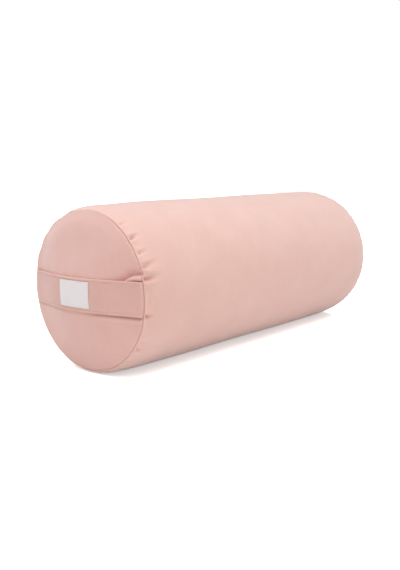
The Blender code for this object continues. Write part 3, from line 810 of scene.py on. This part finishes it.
patch = {
    "width": 0.054, "height": 0.034, "thickness": 0.0004, "edgeRadius": 0.0004, "columns": 72, "rows": 46,
    "edgeSteps": [0, 0.0001, 0.0003, 0.0006, 0.001, 0.0016, 0.0022, 0.003],
    "stitchFromEdge": 0.0016, "edgeSink": 0.00022, "stitchSpread": 0.0006,
    "thread": 0.00016, "stitchPitch": 0.0022, "stitchGap": 0.0005,
    "lift": 0.00005, "backDrop": 0.00004,  # over the strap's face, and how far its back lies into it
    "dent": (0.00045, 0.0004, 0.0009),  # in the strap's face, beside the patch's edges: depth, place and width
    "shift": (-0.0012, 0.0007),  # sewn on a touch to the right and up, as in the photograph
}
panelOut = Vector((-1, 0, 0))  # away from the front panel


def strapSection():
    # Heights of the strap's upper face across its width, then its underside.
    half, inward = strap["width"] / 2, np.array(strap["acrossSteps"])
    across = np.concatenate([half - inward, [0], inward[::-1] - half])
    back = half - np.abs(across)
    height = strap["thickness"] - strap["edgeRadius"] * (1 - roundedEdge(back, strap["edgeRadius"]))
    height -= strap["stitchSink"] * hump(back - strap["stitchFromEdge"], strap["stitchSpread"])
    height -= strap["middleSink"] * smoothStep(back, strap["stitchFromEdge"], strap["flatFrom"])
    turn, up = strap["underTurn"]
    return np.vstack([np.stack([across, height], axis=-1),
                      [(-half, up), (turn - half, 0), (0, 0), (half - turn, 0), (half, up)]])


def patchDent(sideways, up):
    # The strap's face is drawn down along the patch's edges.
    beside = np.abs(sideways - patch["shift"][0]) - patch["width"] / 2
    above = np.abs(up - patch["shift"][1]) - patch["height"] / 2
    return ridge(np.maximum(beside, above), patch["dent"])


def strapPoint(share, across, height, side):
    # share 0 is the end caught in the seam and 1 the middle; side is -1 for the end at -Y.
    up = across - strap["drop"]
    reach = np.sqrt(roll["seamRadius"] ** 2 - up ** 2) + strap["pastRim"][side]
    reach = reach - seamDip(np.arctan2(up, -side * reach), frontDips)
    sideways = side * reach * (1 - share)
    crown = crownAt(np.hypot(sideways, up), roll["seamRadius"])
    tuck = 1 - roundedEdge(reach * share, strap["tuck"][side])
    pressed = height * (1 - strap["pressed"] * tuck) - patchDent(sideways, across)
    middle, spread = strap["liftAlong"]
    stand = strap["lowerLift"] * smoothStep(-across, *strap["liftAcross"]) * hump(share - middle, spread)
    stand = stand * (side < 0)
    outward = strap["base"] + crown + pressed + stand - strap["tuckDepth"] * tuck
    return np.stack([roll["middle"] - outward, sideways + 0 * outward, roll["axisHeight"] + up + 0 * outward],
                    axis=-1)


def strapSeam(edge, side):
    # Stitches along one edge of a half
    across = edge * (strap["width"] / 2 - strap["stitchFromEdge"])
    reach = math.sqrt(roll["seamRadius"] ** 2 - (across - strap["drop"]) ** 2)
    lay = strap["thickness"] - strap["stitchSink"] - strap["middleSink"] / 2
    return stitchLine(lambda run: (Vector(strapPoint(run / reach, across, lay, side)), panelOut), reach)


shares = np.concatenate([np.linspace(0, strap["seamShare"], strap["seamStations"] + 1)[:-1],
                         np.linspace(strap["seamShare"], 1, strap["stations"] - strap["seamStations"])])
section = strapSection()
for name, side in (("strapRightHalf", -1), ("strapLeftHalf", 1)):
    points = strapPoint(shares[:, None], section[None, :, 0], section[None, :, 1], side)
    strapHalf = addPiece(name, cappedTube(name, points), strapCanvasPaintedShade)
    stitches = strapSeam(-1, side) + strapSeam(1, side)
    strapStitches = addPiece(name + "Stitches", stitchMesh(name + "Stitches", stitches), canvasThread)
    for item in (strapHalf, strapStitches):
        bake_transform(item)
    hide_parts("handle_strap")
    print(name, len(strapHalf.data.polygons), "faces,", len(stitches), "stitches")


# Bare woven patch, sewn on the strap's middle
def patchPoint(sideways, up, height):
    sideways, up = sideways + patch["shift"][0], up + patch["shift"][1]
    crown = crownAt(np.hypot(sideways, up - strap["drop"]), roll["seamRadius"])
    lie = strap["base"] + strap["thickness"] - strap["middleSink"] + patch["lift"]
    return np.stack([roll["middle"] - (lie + crown + height), sideways,
                     roll["axisHeight"] + up - strap["drop"]], axis=-1)


def patchHeight(sideways, up):
    # Rounded cut edges, pressed down along the stitches.
    back = np.minimum(patch["width"] / 2 - np.abs(sideways), patch["height"] / 2 - np.abs(up))
    sunk = patch["edgeSink"] * hump(back - patch["stitchFromEdge"], patch["stitchSpread"])
    return patch["thickness"] * roundedEdge(back, patch["edgeRadius"]) - sunk * (back > patch["edgeRadius"])


def patchPlaces(size, steps):
    # Places across the patch, close together at both edges
    edge, half = np.array(patch["edgeSteps"]), size / 2
    return np.concatenate([edge[:-1] - half, np.linspace(-half + edge[-1], half - edge[-1], steps),
                           half - edge[-2::-1]])


def patchMesh(name):
    # Its face and its back, closed along the border
    sideways, up = np.meshgrid(patchPlaces(patch["width"], patch["columns"]),
                               patchPlaces(patch["height"], patch["rows"]))
    points = np.stack([patchPoint(sideways, up, patchHeight(sideways, up)),
                       patchPoint(sideways, up, 0 * up - patch["backDrop"])])
    index = np.arange(sideways.size).reshape(sideways.shape)
    quads = gridQuads(index).reshape(-1, 4)
    border = np.concatenate([index[0], index[1:, -1], index[-1, -2::-1], index[-2:0:-1, 0]])
    following = np.roll(border, -1)
    sides = np.stack([border, following, following + index.size, border + index.size], axis=-1)
    mesh = bpy.data.meshes.new(name)
    mesh.from_pydata(points.reshape(-1, 3).tolist(), [],
                     np.concatenate([quads, quads[:, ::-1] + index.size, sides]).tolist())
    return tidyMesh(mesh)


def patchSeam(start, end):
    # Stitches from one corner to the next
    lay = patch["thickness"] - patch["edgeSink"]

    def onPatch(distance):
        spot = start + (end - start).normalized() * distance
        return Vector(patchPoint(spot.x, spot.y, lay)), panelOut

    return stitchLine(onPatch, (end - start).length, patch["stitchPitch"], patch["stitchGap"])


patchCloth = addPiece("bareWovenPatch", patchMesh("bareWovenPatch"), patchWeave)
halfWidth, halfHeight = (patch[size] / 2 - patch["stitchFromEdge"] for size in ("width", "height"))
corners = [Vector((x * halfWidth, y * halfHeight)) for x, y in ((-1, -1), (1, -1), (1, 1), (-1, 1))]
patchStitches = sum((patchSeam(start, end) for start, end in zip(corners, corners[1:] + corners[:1])), [])
patchSewing = addPiece("patchStitches", stitchMesh("patchStitches", patchStitches, patch["thread"]),
                       patchThread)
for item in (patchCloth, patchSewing):
    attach(item, "handle")
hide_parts("label_patch")
print("bare patch with", len(patchStitches), "stitches")

# Zip: woven tapes, the stitches that hold them, and better finishes for the moulded and cast parts
zipLine = {
    "tapeRadius": 0.11156, "tapeThickness": 0.0006, "tapeEdge": 0.003, "tapeWidth": 0.012, "tapeEnd": 0.207,
    "stations": 320, "across": 16,
    # the tapes part round the slider's post, as the rows do: how far, from where and over what stretch
    "parting": 0.0019, "partedFrom": -0.1822, "partingRun": 0.0065,
    "castEdges": {"zip_slider": 0.00015, "zip_pull": 0.0002}, "castEdgeAngle": 50,
}


def onZip(along, sideways, radius):
    # A point over the zip line; sideways is the distance from it, up towards the top where it is negative.
    outward = np.sqrt(radius ** 2 - sideways ** 2)
    flat = np.stack([along + roll["middle"], 0 * along, 0 * along + roll["axisHeight"]], axis=-1)
    return flat + outward[..., None] * np.array(zipOut) + sideways[..., None] * np.array(zipSide)


tapeAlong = np.linspace(-zipLine["tapeEnd"], zipLine["tapeEnd"], zipLine["stations"])
tapeParting = zipLine["parting"] * smoothStep(zipLine["partedFrom"] - tapeAlong, 0, zipLine["partingRun"])
tapeInner = (zipLine["tapeEdge"] + tapeParting)[:, None]
tapeShare = np.linspace(0, 1, zipLine["across"])
tapeShare = np.concatenate([tapeShare, np.linspace(1, 0, zipLine["across"])])[None, :]
tapeDepth = np.repeat([0, zipLine["tapeThickness"]], zipLine["across"])[None, :]
for name, node, side in (("zipTapeLowerWeave", "zip_tape_lower", 1),
                         ("zipTapeUpperWeave", "zip_tape_upper", -1)):
    sideways = side * (tapeInner + (zipLine["tapeEdge"] + zipLine["tapeWidth"] - tapeInner) * tapeShare)
    points = onZip(tapeAlong[:, None] + 0 * sideways, sideways, zipLine["tapeRadius"] - tapeDepth)
    tape = addPiece(name, cappedTube(name, points), tapeWeave)
    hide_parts(node)
    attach(tape, "bolster")


def foldStitch(along, sideways):
    turn = sideways / roll["radius"]
    outward = math.cos(turn) * zipOut + math.sin(turn) * zipSide
    sunk = outward * (roll["radius"] - barrel["stitchSink"])
    return Vector((roll["middle"] + along, 0, roll["axisHeight"])) + sunk, outward


zipStitches = []
besideZip = barrel["slotHalfWidth"] + barrel["stitchFromFold"]
pastEnd = barrel["slotHalf"] + barrel["stitchFromFold"]
for side in (-1, 1):
    zipStitches += stitchLine(lambda run: foldStitch(run - pastEnd, side * besideZip), 2 * pastEnd)
    zipStitches += stitchLine(lambda run: foldStitch(side * pastEnd, run - besideZip), 2 * besideZip)
zipSewing = addPiece("zipStitches", stitchMesh("zipStitches", zipStitches), canvasThread)
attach(zipSewing, "bolster")

for node, finish in (("zip_teeth_lower", toothAcetal), ("zip_teeth_upper", toothAcetal),
                     ("zip_top_stop_lower", stopAcetal), ("zip_top_stop_upper", stopAcetal),
                     ("zip_bottom_stop", stopAcetal), ("zip_slider", sliderZinc), ("zip_pull", pullZinc)):
    nodes[node].data.materials.clear()
    nodes[node].data.materials.append(finish)
for node, width in zipLine["castEdges"].items():
    bevel = nodes[node].modifiers.new("castEdges", "BEVEL")
    bevel.width = width
    bevel.segments = 2
    bevel.limit_method = "ANGLE"
    bevel.angle_limit = math.radians(zipLine["castEdgeAngle"])
print("zip dressed with", len(zipStitches), "stitches")

# Liner bag and its husks, inside the closed cover
linerLow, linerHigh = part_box("liner_barrel")
linerPanelLow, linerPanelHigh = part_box("liner_end_front")
liner = {
    "radius": (linerHigh.y - linerLow.y) / 2, "half": (linerHigh.x - linerLow.x) / 2,
    "seamRadius": (linerPanelHigh.y - linerPanelLow.y) / 2, "thickness": 0.0007,
    "underside": linerLow.z,  # it lies just above the cover's
    "lip": [(0.0003, -0.007), (0.0003, -0.003), (0.00015, -0.0002)],
    "columns": 360, "shoulderRows": 36, "rowStep": 0.008,
    "waviness": 0.0002, "waveSeed": 31, "slack": 0.0002,
    "follow": 1.12,  # its hollows are a little deeper than the cover's
    "pullReach": 0.01,
}
linerPanel = {
    "plane": liner["half"] + roll["seamGap"] + liner["thickness"], "rim": liner["seamRadius"],
    "thickness": liner["thickness"], "allowance": 0.007, "rings": 32, "seed": 40,
    "roll": [(0.0030, 0.0), (0.0016, 0.00015), (0.0006, 0.0005), (0.0003, 0.0008)],
}


def linerCrease(across, up):
    return np.minimum(frontRelief(across, up), 0) * liner["follow"]


def hollowsUnder(rows, angle):
    return np.minimum(coverRelief(rows[:, :1], angle), 0) * liner["follow"]


def insidePoints(rows, angle, height, edge, half, underside):
    # The bag's or the heap's points: the panel's creases draw in its front end, and its weight presses it flat.
    along, outward = rows[:, :1], rows[:, 1:]
    pull = linerCrease(-edge * np.cos(angle), edge * np.sin(angle)) * (along < 0)
    pull = pull * hump(np.maximum(half - np.abs(along), 0), liner["pullReach"])
    normals = profileNormals(rows)
    points = toWorld(along + normals[:, :1] * height - pull, outward + normals[:, 1:] * height, angle)
    return restOn(points, underside)


def linerBarrelMesh():
    rows = barrelRows(liner, liner)
    angle = np.linspace(0, 2 * math.pi, liner["columns"], endpoint=False)[None, :]
    height = waves(rows[:, :1], angle, liner["waveSeed"], liner["waviness"]) - liner["slack"]
    height = height + hollowsUnder(rows, angle)
    points = insidePoints(rows, angle, height, np.minimum(rows[:, 1:], liner["seamRadius"]), liner["half"],
                          liner["underside"])
    mesh = tidyMesh(roundMesh("linerBarrelCloth", points))
    faceOutwards(mesh, (0, -1, 0))
    return mesh


linerCloth = addPiece("linerBarrelCloth", linerBarrelMesh(), linerCalico)
addThickness(linerCloth, liner["thickness"])
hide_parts("liner_barrel")
linerPieces = [linerCloth]
for name, node, front, relief in (("linerEndFrontCloth", "liner_end_front", True, linerCrease),
                                  ("linerEndRearCloth", "liner_end_rear", False, None)):
    endCloth = addPiece(name, panelMesh(name, linerPanel, front, relief, [], linerPanel["seed"]), linerCalico)
    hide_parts(node)
    linerPieces.append(endCloth)
for item in linerPieces:
    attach(item, "bolster")
print("liner bag made, seam radius", round(liner["seamRadius"], 4))

# The husks: one lumpy heap that fills the bag and gives way under the cover's gathers
huskLow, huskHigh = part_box("husk_filling")
heap = {
    "radius": (huskHigh.y - huskLow.y) / 2, "underside": huskLow.z,
    "half": liner["half"] - 0.001, "seamRadius": liner["seamRadius"] - 0.001,
    "domeRadius": liner["seamRadius"] - 0.0083,  # the bag's seam allowance stands round the dome
    "rowStep": 0.0045, "lump": 0.0013,  # a husk's size, and how far the husks stand apart in height
    "domeRings": 1.5, "shoulderRows": 18, "seed": 7,  # rings per husk over the domes, rows at the shoulders
    "lip": [],
}


def huskRows():
    # Places along the heap and radii, from the middle of the rear end to the middle of the front one.
    rings = int(heap["domeRadius"] * heap["domeRings"] / heap["rowStep"])
    dome = heap["domeRadius"] * np.sin(np.linspace(0, math.pi / 2, rings))
    ends = [(heap["half"] + crownAt(radius, heap["domeRadius"]), radius) for radius in dome]
    body = barrelRows(heap, heap).tolist()
    return np.array(ends + body + [(-place, radius) for place, radius in ends[::-1]])


def huskHeapMesh():
    rows = huskRows()
    columns = int(2 * math.pi * heap["radius"] / heap["rowStep"])
    angle = np.linspace(0, 2 * math.pi, columns, endpoint=False)[None, :]
    lumps = np.random.default_rng(heap["seed"]).uniform(0, heap["lump"], (len(rows), columns))
    lumps[[0, -1]] = 0
    height = hollowsUnder(rows, angle) * (rows[:, 1:] > heap["domeRadius"]) - lumps
    points = insidePoints(rows, angle, height, rows[:, 1:], heap["half"], heap["underside"])
    return tidyMesh(roundMesh("huskHeap", points))


huskHeap = addPiece("huskHeap", huskHeapMesh(), huskFinish)
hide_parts("husk_filling")
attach(huskHeap, "bolster")
print("husk heap:", len(huskHeap.data.polygons), "faces")

# Floor, light and camera
studio = {
    "floorColour": "#F7F7F7", "floorSeen": 0.95, "floorMirrored": 0.25, "floorHalf": 6, "floorDrop": 0.0002,
    # the tight shadow in the nook, painted into the floor's glow: how far it feels the roll, how open a spot is
    # where it is full and where it ends, and how much of the floor's white it keeps
    "nookReach": 0.04, "nookSamples": 12, "nookFull": 0.24, "nookEnd": 0.45, "nookLevel": 0.47,
    "worldLevel": 1.07, "nearShare": 0.34, "worldAtFar": 0.18,
    "lampPlace": (-0.35, -0.2, 1.7), "lampSize": 1.4, "lampWatts": 17.8, "lampAim": (0, 0, 0.1),
    "lampColour": "#E7F7FF",  # daylight, a touch cooler than the room
}


def mirrored(tree, path):
    # 1 for the rays by which metal and glossy cloth see their surroundings
    return addNode(tree, "Math", {"operation": "MAXIMUM"},
                   {0: path.outputs["Is Glossy Ray"], 1: path.outputs["Is Transmission Ray"]})


def floorFinish():
    # Matt white paper. The camera sees it as white, but for a tight shadow in the nook under the roll, which is
    # partly real and partly painted shadow, where the glow it shows the camera drops.
    material, tree, shader = newFinish("paleFloor", {
        "Base Color": linearColour(studio["floorColour"]), "Roughness": 0.9, "Specular IOR Level": 0.1})
    path = addNode(tree, "LightPath")
    # Painted shadow: the glow that the camera sees drops where the roll closes the floor in.
    nook = addNode(tree, "AmbientOcclusion", {"samples": studio["nookSamples"]},
                   {"Distance": studio["nookReach"]})
    clearing = addNode(tree, "MapRange", {"interpolation_type": "SMOOTHSTEP"}, {
        "Value": nook.outputs["AO"], "From Min": studio["nookFull"], "From Max": studio["nookEnd"],
        "To Min": studio["nookLevel"], "To Max": studio["floorSeen"]})
    seen = addNode(tree, "Math", {"operation": "MULTIPLY"}, {0: path.outputs["Is Camera Ray"], 1: clearing})
    glossy = addNode(tree, "Math", {"operation": "MULTIPLY"},
                     {0: mirrored(tree, path), 1: studio["floorMirrored"]})
    glow = addNode(tree, "Math", {"operation": "ADD"}, {0: seen, 1: glossy})
    setInputs(tree, shader, {"Emission Color": (1, 1, 1, 1), "Emission Strength": glow})
    return material


half = studio["floorHalf"]
corners = [(-half, -half, 0), (half, -half, 0), (half, half, 0), (-half, half, 0)]
floorMesh = bpy.data.meshes.new("paleFloor")
floorMesh.from_pydata(corners, [], [(0, 1, 2, 3)])
floorMesh.materials.append(floorFinish())
floor = bpy.data.objects.new("paleFloor", floorMesh)
floor.location.z = -studio["floorDrop"]
bpy.context.scene.collection.objects.link(floor)


def roomLight():
    # White to the camera and in mirrored rays. Its light is dimmer past both ends of the roll than before and
    # above it, most of all past the far one.
    world = bpy.data.worlds.new("paleStudio")
    world.use_nodes = True
    tree = world.node_tree
    path = addNode(tree, "LightPath")
    seen = addNode(tree, "Math", {"operation": "MAXIMUM"},
                   {0: path.outputs["Is Camera Ray"], 1: mirrored(tree, path)})
    direction = addNode(tree, "TexCoord").outputs["Generated"]
    alongRoll = addNode(tree, "SeparateXYZ", {}, {0: direction}).outputs["X"]
    nearShare = addNode(tree, "MapRange", {}, {"Value": alongRoll, "From Min": -1.0, "From Max": 0.0,
                                               "To Min": studio["nearShare"], "To Max": 1.0})
    farLevel = addNode(tree, "MapRange", {}, {"Value": alongRoll, "To Min": studio["worldLevel"],
                                              "To Max": studio["worldAtFar"]})
    room = addNode(tree, "Math", {"operation": "MULTIPLY"}, {0: nearShare, 1: farLevel})
    level = addNode(tree, "Mix", {"data_type": "FLOAT"}, {0: seen, 2: room, 3: 1.0})
    setInputs(tree, tree.nodes["Background"], {"Color": (1, 1, 1, 1), "Strength": level})
    return world


bpy.context.scene.world = roomLight()

softbox = bpy.data.lights.new("overheadSoftbox", "AREA")
softbox.size = studio["lampSize"]
softbox.energy = studio["lampWatts"]
softbox.color = linearColour(studio["lampColour"])[:3]
softboxObject = bpy.data.objects.new("overheadSoftbox", softbox)
softboxObject.location = studio["lampPlace"]
lampAim = Vector(studio["lampAim"]) - Vector(studio["lampPlace"])
softboxObject.rotation_euler = lampAim.to_track_quat("-Z", "Y").to_euler()
softboxObject.visible_camera = False
bpy.context.scene.collection.objects.link(softboxObject)

# The camera that was fitted to the photograph's outline
view = {"azimuth": math.radians(-49.66), "elevation": math.radians(8.95), "distance": 1.1165,
        "tilt": -0.01185, "target": (-0.0464, 0, 0.0882), "focalPixels": 727.5, "imageHeight": 570}
towards = Vector((math.sin(view["azimuth"]) * math.cos(view["elevation"]),
                  -math.cos(view["azimuth"]) * math.cos(view["elevation"]), math.sin(view["elevation"])))
camera = bpy.data.objects.new("photoCamera", bpy.data.cameras.new("photoCamera"))
camera.data.lens = view["focalPixels"] / view["imageHeight"] * camera.data.sensor_width
camera.location = Vector(view["target"]) + towards * view["distance"]
turn = (-towards).to_track_quat("-Z", "Y").to_matrix().to_4x4() @ Matrix.Rotation(view["tilt"], 4, "Z")
camera.rotation_euler = turn.to_euler()
bpy.context.scene.collection.objects.link(camera)
bpy.context.scene.camera = camera
bpy.context.scene.view_settings.view_transform = "Standard"
print("studio set")
